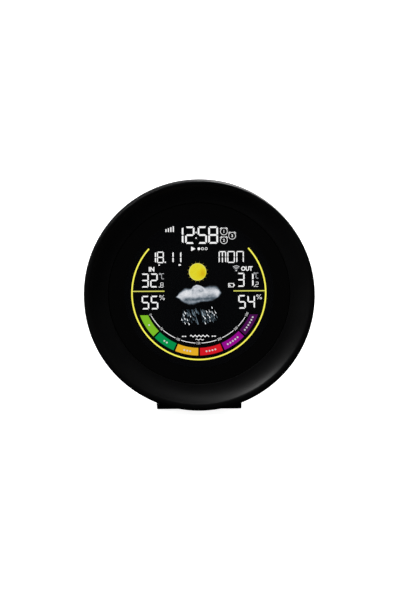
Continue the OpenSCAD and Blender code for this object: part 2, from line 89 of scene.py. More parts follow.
class Nodes:
    """A short way to write a material's node tree."""

    def __init__(self, name):
        self.material = bpy.data.materials.new(name)
        self.material.use_nodes = True
        self.tree = self.material.node_tree
        self.tree.nodes.clear()
        self.output = self.add("ShaderNodeOutputMaterial")

    def add(self, kind, **values):
        node = self.tree.nodes.new(kind)
        for key, value in values.items():
            setattr(node, key, value)
        return node

    def link(self, source, target):
        self.tree.links.new(source, target)

    def coords(self, scale=(1, 1, 1)):
        texture = self.add("ShaderNodeTexCoord")
        mapping = self.add("ShaderNodeMapping")
        mapping.inputs["Scale"].default_value = scale
        self.link(texture.outputs["Object"], mapping.inputs["Vector"])
        return mapping.outputs["Vector"]

    def noise(self, where, scale, detail=3.0, rough=0.55):
        node = self.add("ShaderNodeTexNoise")
        node.inputs["Scale"].default_value = scale
        node.inputs["Detail"].default_value = detail
        node.inputs["Roughness"].default_value = rough
        self.link(where, node.inputs["Vector"])
        return node.outputs["Fac"]

    def cells(self, where, scale):
        node = self.add("ShaderNodeTexVoronoi")
        node.inputs["Scale"].default_value = scale
        self.link(where, node.inputs["Vector"])
        return node.outputs["Distance"]

    def ramp(self, value, stops):
        node = self.add("ShaderNodeValToRGB")
        while len(node.color_ramp.elements) < len(stops):
            node.color_ramp.elements.new(0.5)
        for element, (position, colour) in zip(node.color_ramp.elements, stops):
            element.position = position
            element.color = (*colour, 1.0)
        self.link(value, node.inputs["Fac"])
        return node.outputs["Color"]

    def span(self, value, low, high, to_low, to_high):
        node = self.add("ShaderNodeMapRange")
        limits = {"From Min": low, "From Max": high, "To Min": to_low, "To Max": to_high}
        for name, number in limits.items():
            node.inputs[name].default_value = number
        self.link(value, node.inputs["Value"])
        return node.outputs["Result"]

    def spread(self, noise, to_low, to_high):
        """A range from the part of a noise where most of its values lie."""
        return self.span(noise, *NOISE_MIDDLE, to_low, to_high)

    def tint(self, noise, dark, light):
        """From one colour to another over the part of a noise where most of its values lie."""
        return self.ramp(noise, list(zip(NOISE_MIDDLE, (dark, light))))

    def maths(self, operation, a, b):
        node = self.add("ShaderNodeMath", operation=operation)
        for socket, value in zip(node.inputs, (a, b)):
            if isinstance(value, (int, float)):
                socket.default_value = value
            else:
                self.link(value, socket)
        return node.outputs["Value"]

    def bump(self, height, strength, distance):
        node = self.add("ShaderNodeBump")
        node.inputs["Strength"].default_value = strength
        node.inputs["Distance"].default_value = distance
        self.link(height, node.inputs["Height"])
        return node.outputs["Normal"]

    def principled(self, settings):
        node = self.add("ShaderNodeBsdfPrincipled")
        for name, value in settings.items():
            node.inputs[name].default_value = value
        self.link(node.outputs["BSDF"], self.output.inputs["Surface"])
        return node


def shade(colour, factor):
    return tuple(min(1.0, c * factor) for c in colour)


def moulded(name, colour, rough=0.42, grain=2400, depth=0.00003, strength=0.35):
    """Injection-moulded plastic with a fine spark-eroded texture."""
    n = Nodes(name)
    where = n.coords()
    fine = n.noise(where, grain, 4.0, 0.65)
    pits = n.cells(where, grain * 0.55)
    cloudy = n.noise(where, 38, 4.0)
    shader = n.principled({"Specular IOR Level": 0.4})
    mottled = n.ramp(cloudy, [(0.3, shade(colour, 0.82)), (0.72, shade(colour, 1.18))])
    n.link(mottled, shader.inputs["Base Color"])
    speckle = n.spread(fine, rough - 0.05, rough + 0.06)
    n.link(n.maths("ADD", speckle, n.spread(cloudy, -0.03, 0.03)), shader.inputs["Roughness"])
    height = n.maths("ADD", fine, n.maths("MULTIPLY", pits, 0.5))
    n.link(n.bump(height, strength, depth), shader.inputs["Normal"])
    return n.material


def soft_rubber(name, colour):
    """Dull grainy rubber or foam with a little dust on it."""
    n = Nodes(name)
    where = n.coords()
    grain = n.noise(where, 900, 5.0, 0.7)
    dust = n.noise(where, 120, 6.0)
    shader = n.principled({"Specular IOR Level": 0.25})
    n.link(n.ramp(dust, [(0.35, colour), (0.8, shade(colour, 2.0))]), shader.inputs["Base Color"])
    n.link(n.span(grain, 0.2, 0.8, 0.72, 0.9), shader.inputs["Roughness"])
    n.link(n.bump(grain, 0.5, 0.0001), shader.inputs["Normal"])
    return n.material


def metal(name, colour, rough=0.3):
    """Drawn or rolled metal with fine lines and smudges."""
    n = Nodes(name)
    lines = n.noise(n.coords((1, 1, 30)), 420, 4.0, 0.6)
    smudge = n.noise(n.coords(), 90, 3.0)
    shader = n.principled({"Metallic": 1.0})
    n.link(n.tint(smudge, shade(colour, 0.78), colour), shader.inputs["Base Color"])
    n.link(n.span(lines, 0.25, 0.75, rough - 0.08, rough + 0.12), shader.inputs["Roughness"])
    n.link(n.bump(lines, 0.2, 0.00004), shader.inputs["Normal"])
    return n.material


def sheet_film(name, colour, rough=0.25):
    """Printed plastic film, slightly wavy and finely dotted."""
    n = Nodes(name)
    where = n.coords()
    waves = n.noise(where, 60, 2.0)
    dots = n.cells(where, 700)
    shader = n.principled({"IOR": 1.5})
    uneven = n.ramp(waves, [(0.2, shade(colour, 0.9)), (0.8, shade(colour, 1.06))])
    n.link(uneven, shader.inputs["Base Color"])
    n.link(n.span(dots, 0.0, 0.6, rough, rough + 0.15), shader.inputs["Roughness"])
    n.link(n.bump(waves, 0.15, 0.0001), shader.inputs["Normal"])
    return n.material


def clear_sheet(name, colour, alpha):
    """Glass or clear plastic with faint rows of etched cells."""
    n = Nodes(name)
    rows = n.cells(n.coords((1, 1, 0.2)), 500)
    shader = n.principled({"IOR": 1.5})
    n.link(n.ramp(rows, [(0.0, shade(colour, 0.8)), (0.6, colour)]), shader.inputs["Base Color"])
    n.link(n.spread(n.noise(n.coords(), 200), 0.04, 0.1), shader.inputs["Roughness"])
    n.link(n.span(rows, 0.0, 0.7, alpha * 1.15, alpha * 0.9), shader.inputs["Alpha"])
    return n.material


def circuit_board(name, colour):
    """Solder mask over a grid of tracks, turned to lie in the leaning board."""
    n = Nodes(name)
    where = n.coords()
    tracks = n.add("ShaderNodeTexBrick")
    tracks.inputs["Scale"].default_value = 260
    tracks.inputs["Mortar Size"].default_value = 0.035
    for socket, factor in (("Color1", 0.85), ("Color2", 1.25), ("Mortar", 2.2)):
        tracks.inputs[socket].default_value = (*shade(colour, factor), 1)
    turn = n.add("ShaderNodeMapping")
    turn.inputs["Rotation"].default_value = (math.radians(90) - LEAN, 0, 0)
    n.link(where, turn.inputs["Vector"])
    n.link(turn.outputs["Vector"], tracks.inputs["Vector"])
    shader = n.principled({"Coat Weight": 0.4})
    n.link(tracks.outputs["Color"], shader.inputs["Base Color"])
    n.link(n.spread(n.noise(where, 300), 0.25, 0.45), shader.inputs["Roughness"])
    n.link(n.bump(tracks.outputs["Fac"], 0.4, 0.00005), shader.inputs["Normal"])
    return n.material


def window_pane(name):
    """Smoked acrylic: nearly clear over the display, backed with black print outside it, polished."""
    n = Nodes(name)
    texture = n.add("ShaderNodeTexCoord")
    centre = CASE @ Vector((0, LENS_BACK * MM, DISH_RISE * MM))
    away = n.add("ShaderNodeVectorMath", operation="DISTANCE")
    away.inputs[1].default_value = centre
    n.link(texture.outputs["Object"], away.inputs[0])
    hair = n.noise(n.coords((1, 1, 6)), 700, 5.0, 0.7)
    smear = n.noise(n.coords(), 22, 4.0, 0.6)
    shader = n.principled({"IOR": 1.49, "Specular IOR Level": 0.5})
    n.link(n.tint(smear, (0.0011, 0.0011, 0.0012), (0.0016, 0.0016, 0.0018)), shader.inputs["Base Color"])
    gloss = n.maths("ADD", n.spread(smear, 0.03, 0.07), n.span(hair, 0.4, 0.8, 0.0, 0.02))
    n.link(gloss, shader.inputs["Roughness"])
    edge, edge_in, edge_out = WINDOW_R * MM, 0.0001, 0.0002
    smoke, solid = 0.12, 1.0
    cover = n.span(away.outputs["Value"], edge - edge_in, edge + edge_out, smoke, solid)
    n.link(cover, shader.inputs["Alpha"])
    return n.material


UNLIT = {"Base Color": (0.004, 0.004, 0.004, 1), "Specular IOR Level": 0.1}


def lit_ink(name, colour, strength, uneven):
    """A lit part of the display picture: colour film over the backlight, a little uneven."""
    n = Nodes(name)
    where = n.coords()
    patch = n.noise(where, 45, 2.0)
    mesh = n.cells(where, 2600)
    shader = n.principled({**UNLIT, "Emission Strength": strength})
    blotch = n.maths("ADD", patch, n.maths("MULTIPLY", mesh, 0.12))
    n.link(n.tint(blotch, shade(colour, 1 - uneven), colour), shader.inputs["Emission Color"])
    n.link(n.spread(patch, 0.5, 0.6), shader.inputs["Roughness"])
    return n.material


def dark_display(name):
    """The unlit ground of the display: nearly black, with the faintest leak of the backlight."""
    n = Nodes(name)
    leak = n.noise(n.coords(), 18, 3.0)
    ground = (0.003, 0.003, 0.0035, 1)
    shader = n.principled({"Base Color": ground, "Specular IOR Level": 0.15, "Emission Strength": 1.0})
    leaked = n.ramp(leak, [(0.3, (0.0012, 0.0013, 0.0017)), (0.75, (0.0019, 0.0020, 0.0024))])
    n.link(leaked, shader.inputs["Emission Color"])
    n.link(n.spread(leak, 0.35, 0.5), shader.inputs["Roughness"])
    return n.material


def glow_ink(name, stops, strength):
    """Display picture whose colour follows a value called glow on the mesh, from 0 to 1."""
    n = Nodes(name)
    value = n.add("ShaderNodeAttribute", attribute_name="glow").outputs["Fac"]
    fine = n.noise(n.coords(), 900, 3.0)
    shader = n.principled({**UNLIT, "Emission Strength": strength})
    mixed = n.maths("ADD", value, n.spread(fine, -0.03, 0.03))
    n.link(n.ramp(mixed, stops), shader.inputs["Emission Color"])
    n.link(n.spread(fine, 0.5, 0.6), shader.inputs["Roughness"])
    return n.material


case_black = moulded("case_black", (0.0085, 0.0085, 0.0092))
housing_black = moulded("housing_black", (0.017, 0.017, 0.0185), rough=0.46, grain=1500, depth=0.00006,
                        strength=0.5)
SLOT_MATERIALS = {
    "case_plastic": housing_black,
    "window": window_pane("smoked_window"),
    "tape": soft_rubber("foam_tape", (0.02, 0.02, 0.02)),
    "polariser": dark_display("display_ground"),
    "display_glass": clear_sheet("display_glass", (0.5, 0.58, 0.6), 0.35),
    "colour_film": sheet_film("colour_film", (0.5, 0.44, 0.2)),
    "white_film": sheet_film("white_film", (0.86, 0.86, 0.84), 0.4),
    "light_guide": clear_sheet("light_guide", (0.8, 0.9, 0.92), 0.5),
    "white_plastic": moulded("white_plastic", (0.78, 0.78, 0.75), rough=0.45, strength=0.2),
    "lamp": sheet_film("lamp", (0.93, 0.84, 0.45), 0.2),
    "board": circuit_board("circuit_board", (0.02, 0.16, 0.07)),
    "chip": moulded("chip_black", (0.022, 0.022, 0.025), rough=0.55, grain=3000),
    "steel": metal("steel", (0.66, 0.67, 0.69)),
    "contact_metal": metal("contact_metal", (0.83, 0.66, 0.34), 0.25),
    "contact_rubber": soft_rubber("contact_rubber", (0.5, 0.2, 0.26)),
    "capacitor_sleeve": sheet_film("capacitor_sleeve", (0.03, 0.04, 0.12), 0.3),
    "button_plastic": moulded("button_plastic", (0.035, 0.035, 0.038), rough=0.36, grain=3200),
    "foot_rubber": soft_rubber("foot_rubber", (0.018, 0.018, 0.018)),
}


def paint(node, material):
    mesh = NODES[node].data
    mesh.materials.clear()
    mesh.materials.append(material)


for part in frame["record"]["subparts"]:
    paint(part["node"], SLOT_MATERIALS[part["material_slot"]])


# -------------------- mesh helpers
def new_piece(name, build, material, body="case", smooth=None):
    """Makes a piece from a bmesh in millimetres of the case's frame, and lets it ride on a body."""
    build.transform(CASE @ Matrix.Scale(MM, 4))
    bmesh.ops.recalc_face_normals(build, faces=build.faces)
    mesh = bpy.data.meshes.new(name)
    build.to_mesh(mesh)
    build.free()
    mesh.materials.append(material)
    piece = bpy.data.objects.new(name, mesh)
    bpy.context.scene.collection.objects.link(piece)
    if smooth is not None:
        mesh.set_sharp_from_angle(angle=math.radians(smooth))
        for face in mesh.polygons:
            face.use_smooth = True
    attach(piece, body)
    return piece


def picture_point(x, z, y=PICTURE_Y):
    """From millimetres right of and above the picture's middle to the case's frame."""
    return (x * PICTURE_SCALE + PICTURE_X, y, z * PICTURE_SCALE + PICTURE_Z)


def add_prism(build, outline, y, depth):
    """A flat shape of (x, z) points, from the middle of the picture, and from y to y + depth behind it."""
    front = [build.verts.new(picture_point(x, z, y)) for x, z in outline]
    back = [build.verts.new(picture_point(x, z, y + depth)) for x, z in outline]
    build.faces.new(front)
    build.faces.new(list(reversed(back)))
    count = len(outline)
    for i in range(count):
        j = (i + 1) % count
        build.faces.new((front[i], back[i], back[j], front[j]))


def arc_points(centre, radius, start, end, steps):
    """Points of an arc from start to end degrees; 0 points along the first axis, 90 along the second."""
    points = []
    for i in range(steps + 1):
        angle = math.radians(start + (end - start) * i / steps)
        points.append((centre[0] + radius * math.cos(angle), centre[1] + radius * math.sin(angle)))
    return points


def add_strip(build, inner, outer, closed=False):
    """A flat strip between two lines of points, as thick as the ink."""
    rows = []
    for pair in zip(inner, outer):
        row = []
        for x, z in pair:
            row += [build.verts.new(picture_point(x, z, y)) for y in (PICTURE_Y, PICTURE_Y + INK_T)]
        rows.append(row)
    if closed:
        for v in rows.pop():
            build.verts.remove(v)
    for i in range(len(rows) - (0 if closed else 1)):
        a, b = rows[i], rows[(i + 1) % len(rows)]
        build.faces.new((a[0], a[2], b[2], b[0]))
        build.faces.new((a[1], b[1], b[3], a[3]))
        build.faces.new((a[0], b[0], b[1], a[1]))
        build.faces.new((a[2], a[3], b[3], b[2]))
    if not closed:
        for row in (rows[0], rows[-1]):
            build.faces.new((row[0], row[1], row[3], row[2]))


def add_band(build, centre, inner, outer, start, end, steps=None):
    """Part of a flat ring, from start to end degrees: 0 is +X, and counter-clockwise to the reader."""
    if steps is None:
        steps = max(4, int(abs(end - start) / 2))
    arcs = [arc_points(centre, radius, start, end, steps) for radius in (inner, outer)]
    add_strip(build, *arcs, closed=abs(abs(end - start) - 360) < 1e-6)


def add_circle(build, centre, inner, outer, steps):
    add_band(build, centre, inner, outer, 0, 360, steps)


def disc_points(centre, radius, count):
    return arc_points(centre, radius, 0, 360, count)[:-1]


def box_points(left, low, right, high):
    return [(left, low), (right, low), (right, high), (left, high)]


def ink(build, outline):
    add_prism(build, outline, PICTURE_Y, INK_T)


# -------------------- seven-segment figures
SEGMENTS = {"1": "bc", "2": "abged", "3": "abgcd", "4": "fgbc", "5": "afgcd", "8": "abcdefg"}
LEFT_ONE = "ef"
LETTER_C = "adef"
LETTER_O = "abcdef"
LETTER_N = "abcef"


def segment_outline(which, w, h, t):
    """One bar of a figure w wide, h tall, with bars t thick, mitred and a hair apart."""
    gap = t * 0.12
    cut = t * 0.45
    mid = h / 2
    top = [(cut + gap, h), (w - cut - gap, h), (w - t - gap, h - t), (t + gap, h - t)]
    right = [(w, h - cut - gap), (w, mid + 0.4 * t), (w - 0.45 * t, mid + gap * 2), (w - t, mid + 0.55 * t),
             (w - t, h - t - gap)]
    bar = [(0.5 * t + gap, mid), (t + gap, mid + t / 2), (w - t - gap, mid + t / 2),
           (w - 0.5 * t - gap, mid), (w - t - gap, mid - t / 2), (t + gap, mid - t / 2)]
    outlines = {"a": top,
                "b": right,
                "c": [(x, h - z) for x, z in right],
                "d": [(x, h - z) for x, z in top],
                "e": [(w - x, h - z) for x, z in right],
                "f": [(w - x, z) for x, z in right],
                "g": bar}
    return outlines[which]


def add_figure(build, bars, left, low, w, h, t):
    for which in bars:
        ink(build, [(left + x, low + z) for x, z in segment_outline(which, w, h, t)])


def add_number(build, text, left, low, w, h, t, pitch=0.0):
    for i, sign in enumerate(text):
        add_figure(build, SEGMENTS[sign], left + i * pitch, low, w, h, t)


def add_box(build, left, low, wide, tall):
    ink(build, box_points(left, low, left + wide, low + tall))


white_ink = lit_ink("ink_white", (1.0, 1.0, 1.0), 1.24, 0.05)
grey_ink = lit_ink("ink_grey", (0.55, 0.56, 0.58), 1.14, 0.12)
yellow_ink = lit_ink("ink_yellow", (1.0, 0.95, 0.11), 1.26, 0.06)
olive_ink = lit_ink("ink_olive", (0.84, 0.84, 0.16), 1.05, 0.08)


def time_figures():
    build = bmesh.new()
    low, h, t = 40.75, 14.4, 1.42
    for sign, left, w in (("1", -20.3, 7.8), ("2", -11.15, 7.8), ("5", -0.75, 7.7), ("8", 8.0, 8.1)):
        add_number(build, sign, left, low, w, h, t)
    colon_x, dot_r = -2.1, 0.6
    for z in (45.5, 50.1):
        ink(build, disc_points((colon_x, z), dot_r, 16))
    new_piece("time_figures", build, white_ink)


def date_figures():
    """Day and month, a point between them and a short mark under each."""
    build = bmesh.new()
    low, w, h, t = 24.9, 5.7, 9.6, 0.92
    for right in (-35.2, -20.7, -14.3):
        add_number(build, "1", right - w, low, w, h, t * 1.1)
    add_number(build, "8", -34.5, low, w, h, t)
    add_box(build, -28.2, 25.1, 1.1, 1.1)
    add_box(build, -33.3, 22.8, 1.2, 1.0)
    add_box(build, -16.7, 22.7, 1.9, 1.2)
    new_piece("date_figures", build, white_ink)


def weekday_figures():
    """Three letters; the first has an upright in its middle as well."""
    build = bmesh.new()
    low, w, h, t = 24.7, 6.2, 9.8, 0.88
    first, second, third = 16.5, 23.7, 31.1
    add_figure(build, LETTER_N, first, low, w, h, t)
    for bottom, top in ((0.6, 4.5), (5.5, 8.8)):
        add_box(build, first + w / 2 - t / 2, low + bottom, t, top - bottom)
    add_figure(build, LETTER_O, second, low, w, h, t)
    add_figure(build, LETTER_N, third, low, w, h, t)
    new_piece("weekday_figures", build, white_ink)


# Foot lines, heights and widths of the temperature, the humidity and the small figure after the point
WARM_LOW, WARM_H = 4.8, 11.6
DAMP_LOW, DAMP_H = -13.4, 11.3
READING_W = 6.2
SMALL_LOW, SMALL_W, SMALL_H, SMALL_T = 4.7, 2.5, 4.1, 0.36
POINT = 0.7


def indoor_figures():
    build = bmesh.new()
    add_number(build, "32", -47.6, WARM_LOW, READING_W, WARM_H, 1.1, 7.4)
    add_number(build, "8", -31.8, SMALL_LOW, SMALL_W, SMALL_H, SMALL_T)
    add_box(build, -33.1, SMALL_LOW, POINT, POINT)
    add_number(build, "55", -47.3, DAMP_LOW, READING_W, DAMP_H, 1.15, 7.5)
    new_piece("indoor_figures", build, white_ink)


def outdoor_figures():
    build = bmesh.new()
    add_number(build, "3", 31.75, WARM_LOW, 6.1, WARM_H, 1.1)
    add_figure(build, LEFT_ONE, 44.1, WARM_LOW, 6.1, WARM_H, 1.25)
    add_number(build, "2", 46.9, SMALL_LOW, SMALL_W, SMALL_H, SMALL_T)
    add_box(build, 45.6, SMALL_LOW, POINT, POINT)
    add_number(build, "54", 32.6, DAMP_LOW, READING_W, DAMP_H, 1.15, 7.6)
    new_piece("outdoor_figures", build, white_ink)


# -------------------- small signs, icons and lines
def flat_text(text, bold):
    """The filled outline of upright sign text, as a flat bmesh."""
    curve = bpy.data.curves.new("sign", "FONT")
    curve.body = text
    curve.size = 1.0
    curve.offset = bold
    curve.resolution_u = 3
    holder = bpy.data.objects.new("sign", curve)
    bpy.context.scene.collection.objects.link(holder)
    bpy.context.view_layer.update()
    flat = holder.evaluated_get(bpy.context.evaluated_depsgraph_get()).to_mesh()
    sign = bmesh.new()
    sign.from_mesh(flat)
    holder.to_mesh_clear()
    bpy.data.objects.remove(holder)
    bpy.data.curves.remove(curve)
    bmesh.ops.remove_doubles(sign, verts=sign.verts, dist=1e-5)
    return sign


def add_sign(build, text, centre, height, bold, squeeze=1.0, turn=0.0):
    """Sign text height mm tall, squeezed sideways and turned by turn degrees about its centre."""
    sign = flat_text(text, bold)
    xs = [v.co.x for v in sign.verts]
    ys = [v.co.y for v in sign.verts]
    middle = Vector(((min(xs) + max(xs)) / 2, (min(ys) + max(ys)) / 2, 0))
    scale = height / (max(ys) - min(ys))
    spin = Matrix.Rotation(math.radians(turn), 4, "Z")
    front = {}
    back = {}
    for v in sign.verts:
        flat = spin @ Vector(((v.co.x - middle.x) * scale * squeeze, (v.co.y - middle.y) * scale, 0))
        x, z = centre[0] + flat.x, centre[1] + flat.y
        front[v.index] = build.verts.new(picture_point(x, z))
        back[v.index] = build.verts.new(picture_point(x, z, PICTURE_Y + INK_T))
    for face in sign.faces:
        loop = [v.index for v in face.verts]
        build.faces.new([front[i] for i in loop])
        build.faces.new([back[i] for i in reversed(loop)])
    for edge in sign.edges:
        if len(edge.link_faces) == 1:
            a, b = edge.verts[0].index, edge.verts[1].index
            build.faces.new((front[a], front[b], back[b], back[a]))
    sign.free()


def place_signs():
    build = bmesh.new()
    z, height, bold = 19.9, 3.8, 0.035
    add_sign(build, "IN", (-39.0, z), height, bold, squeeze=0.95)
    add_sign(build, "OUT", (39.8, z), height, bold, squeeze=0.9)
    new_piece("place_signs", build, white_ink)


def degree_signs():
    build = bmesh.new()
    for x in (-30.5, 47.6):
        add_circle(build, (x - 1.5, 15.9), 0.35, 0.8, 18)
        add_figure(build, LETTER_C, x - 0.5, 11.6, 2.6, 4.8, 0.5)
    new_piece("degree_signs", build, grey_ink)


def percent_signs():
    build = bmesh.new()
    ring_in, ring_out = 0.5, 0.85
    foot, head, half, reach = -5.7, -1.6, 0.2, 1.4
    for x in (-30.5, 49.8):
        add_circle(build, (x - reach, -2.6), ring_in, ring_out, 18)
        add_circle(build, (x + reach, -4.8), ring_in, ring_out, 18)
        ink(build, [(x - reach - half, foot), (x - reach + half, foot),
                    (x + reach + half, head), (x + reach - half, head)])
    new_piece("percent_signs", build, white_ink)


def signal_bars():
    build = bmesh.new()
    foot, wide, pitch = 50.7, 0.95, 2.02
    shortest, step = 2.3, 0.8
    for i in range(4):
        add_box(build, -27.4 + i * pitch, foot, wide, shortest + i * step)
    new_piece("signal_bars", build, white_ink)


def alarm_icons():
    """Three numbered alarm clocks, each a ring with two bells above it."""
    build = bmesh.new()
    bell_turn, bell_half = 42, 17
    for number, centre in zip("123", ((20.9, 50.8), (20.9, 43.5), (27.7, 47.2))):
        add_circle(build, centre, 2.65, 3.05, 36)
        for side in (-1, 1):
            middle = 90 - side * bell_turn
            add_band(build, centre, 3.4, 3.9, middle - bell_half, middle + bell_half, 8)
        add_sign(build, number, centre, 2.3, 0.02)
    new_piece("alarm_icons", build, white_ink)


def page_marks():
    """A row of marks in place of a word: the first of three days is the one shown."""
    build = bmesh.new()
    row_z, half = 36.6, 1.9
    ink(build, [(-6.2, row_z + half), (-6.2, row_z - half), (-2.6, row_z)])
    first_x, pitch, dot_r, hole_r = 0.2, 3.0, 1.15, 0.75
    ink(build, disc_points((first_x, row_z), dot_r, 24))
    for i in (1, 2):
        add_circle(build, (first_x + i * pitch, row_z), hole_r, dot_r, 24)
    new_piece("page_marks", build, white_ink)


def radio_icon():
    build = bmesh.new()
    foot = (31.0, 18.3)
    ink(build, disc_points(foot, 0.6, 16))
    half, start, end = 0.22, 47, 133
    for radius in (1.7, 2.85, 4.0):
        add_band(build, foot, radius - half, radius + half, start, end, 14)
    new_piece("radio_icon", build, lit_ink("ink_silver", (0.75, 0.76, 0.78), 1.14, 0.1))


def battery_icon():
    """An outline with a knob at its right end and a slanted quarter of charge at its left."""
    build = bmesh.new()
    left, low, right, high, t = 24.3, 4.5, 29.0, 7.9, 0.5
    ink(build, box_points(left, low, right, low + t))
    ink(build, box_points(left, high - t, right, high))
    ink(build, box_points(left, low + t, left + t, high - t))
    ink(build, box_points(right - t, low + t, right, high - t))
    knob, knob_inset = 0.7, 1.0
    ink(build, box_points(right, low + knob_inset, right + knob, high - knob_inset))
    inset, charge_foot, charge_top = 0.9, 2.2, 1.3
    ink(build, [(left + inset, low + inset), (left + charge_foot, low + inset),
                (left + charge_top, high - inset), (left + inset, high - inset)])
    new_piece("battery_icon", build, white_ink)


YELLOW_IN, YELLOW_OUT = 54.7, 55.9


def yellow_ring():
    """An open ring round the lower part of the picture, its ends at the upper left and upper right."""
    build = bmesh.new()
    centre, start, end = (0, -0.2), 137.9, 402.2
    add_band(build, centre, YELLOW_IN, YELLOW_OUT, start, end, steps=176)
    new_piece("yellow_ring", build, yellow_ink)


def yellow_lines():
    """Level lines from the ring inwards, between temperature and humidity."""
    build = bmesh.new()
    thick = 0.9
    for left, right, low in ((-YELLOW_IN, -28.5, 1.15), (28.6, YELLOW_IN, 0.95)):
        add_box(build, left, low, right - left, thick)
    new_piece("yellow_lines", build, olive_ink)


# Colours of the six fields of the air scale, from clean to foul
SCALE_COLOURS = {"lime": (0.25, 0.62, 0.025), "green": (0.002, 0.34, 0.085), "amber": (0.98, 0.53, 0.022),
                 "red": (0.82, 0.012, 0.022), "magenta": (0.38, 0.004, 0.33), "plum": (0.09, 0.006, 0.10)}
FIELD_IN, FIELD_OUT = 45.8, 52.1
FIELD_TOP = -18.3
FIELD_EDGES = [201.0, 224.3, 246.8, 270.0, 293.2, 316.4, 339.5]
FIELD_GAP = 0.85
# Level marks, one on the first field and one more on each next: the row's radius, a mark's, degrees apart
MARK_ROW_R, MARK_R, MARK_PITCH = 49.0, 0.75, 2.9


def scale_fields():
    """Six fields of a ring; the first and the last are cut level at the top."""
    marks = bmesh.new()
    last_field = len(SCALE_COLOURS) - 1
    for i, (name, colour) in enumerate(SCALE_COLOURS.items()):
        start, end = FIELD_EDGES[i] + FIELD_GAP, FIELD_EDGES[i + 1] - FIELD_GAP
        arcs = []
        for radius in (FIELD_IN, FIELD_OUT):
            level = math.degrees(math.asin(-FIELD_TOP / radius))
            first = 180 + level if i == 0 else start
            last = 360 - level if i == last_field else end
            arcs.append(arc_points((0, 0), radius, first, last, 24))
        build = bmesh.new()
        add_strip(build, *arcs)
        new_piece(f"scale_{name}", build, lit_ink(f"ink_{name}", colour, 1.04, 0.12))
        for k in range(i + 1):
            angle = math.radians((start + end) / 2 + (k - i / 2) * MARK_PITCH)
            spot = (MARK_ROW_R * math.cos(angle), MARK_ROW_R * math.sin(angle))
            add_prism(marks, disc_points(spot, MARK_R, 16), PICTURE_Y - INK_T, INK_T * 0.9)
    new_piece("scale_marks", marks, lit_ink("ink_marks", (0.8, 0.8, 0.8), 1.0, 0.1))


# Each number of the scale with its place in degrees and half of the break in the line that it sits in
SCALE_NUMBERS = [("0", 207.8, 1.3), ("50", 226.9, 2.2), ("100", 247.7, 3.2), ("150", 269.6, 3.2),
                 ("200", 292.2, 3.2), ("300", 312.7, 3.2), ("500", 331.8, 3.4)]
SCALE_CENTRE = (-0.15, 3.3)
SCALE_R = 45.1
SCALE_HALF = 0.25


def scale_line():
    build = bmesh.new()
    for (_, a, half_a), (_, b, half_b) in zip(SCALE_NUMBERS, SCALE_NUMBERS[1:]):
        add_band(build, SCALE_CENTRE, SCALE_R - SCALE_HALF, SCALE_R + SCALE_HALF, a + half_a, b - half_b)
    new_piece("scale_line", build, white_ink)


def scale_numbers():
    build = bmesh.new()
    for text, angle, _ in SCALE_NUMBERS:
        turn = math.radians(angle)
        spot = (SCALE_CENTRE[0] + SCALE_R * math.cos(turn), SCALE_CENTRE[1] + SCALE_R * math.sin(turn))
        add_sign(build, text, spot, 2.1, 0.01, squeeze=0.8, turn=angle - 270)
    new_piece("scale_numbers", build, lit_ink("ink_pale", (0.74, 0.74, 0.74), 1.1, 0.1))


def wave_strip(build, left, right, z, swing, half):
    """A wavy line half a width on either side of a sine, as a strip."""
    steps, ripple = 44, 1.9
    edges = [[], []]
    for i in range(steps + 1):
        x = left + (right - left) * i / steps
        wave = z + swing * math.sin((x - left) * ripple)
        edges[0].append((x, wave - half))
        edges[1].append((x, wave + half))
    add_strip(build, *edges)


def air_icon():
    """Waves of air between two pairs of short marks, in place of the scale's title."""
    build = bmesh.new()
    wave_strip(build, -7.4, 8.3, -35.9, 0.62, 0.42)
    wave_strip(build, -2.9, 3.9, -38.8, 0.4, 0.28)
    dash_half, dash_low, dash_t = 0.7, -36.5, 0.8
    for x in (-12.4, 12.2):
        for step in (-1.0, 1.0):
            add_box(build, x + step - dash_half, dash_low, 2 * dash_half, dash_t)
    new_piece("air_icon", build, white_ink)


# -------------------- sun, cloud and rain
SUN = (-0.95, 17.4)
SUN_R = 7.25
# Upper outline of the cloud from left to right: x, z and how softly it fades; then the lower outline
CLOUD_TOP = [(-19.2, -3.0, 0.8), (-15.6, 1.6, 3.2), (-11.6, 5.0, 4.0), (-6.6, 4.7, 2.4), (-3.8, 6.0, 0.8),
             (-0.8, 6.9, 0.7), (2.2, 6.1, 0.8), (5.2, 5.6, 2.6), (10.0, 7.3, 4.4), (14.6, 6.6, 4.4),
             (17.6, 3.6, 3.6), (19.6, -0.4, 2.4)]
CLOUD_FOOT = [(-19.2, -4.0), (-15.6, -6.6), (-12.4, -8.9), (-7.8, -10.7), (-3.8, -10.3), (1.5, -8.6),
              (8.0, -8.0), (13.2, -6.4), (17.2, -3.4), (19.6, -0.8)]


def ease(value):
    """From 0 to 1 with a soft start and end."""
    value = min(1.0, max(0.0, value))
    return value * value * (3 - 2 * value)


def hash_noise(x, z, seed):
    """Smooth value noise from -1 to 1, the same each run."""
    def corner(i, k):
        return random.Random(i * 7919 + k * 104729 + seed * 31).uniform(-1, 1)
    i, k = math.floor(x), math.floor(z)
    u, v = ease(x - i), ease(z - k)
    low = corner(i, k) * (1 - u) + corner(i + 1, k) * u
    high = corner(i, k + 1) * (1 - u) + corner(i + 1, k + 1) * u
    return low * (1 - v) + high * v


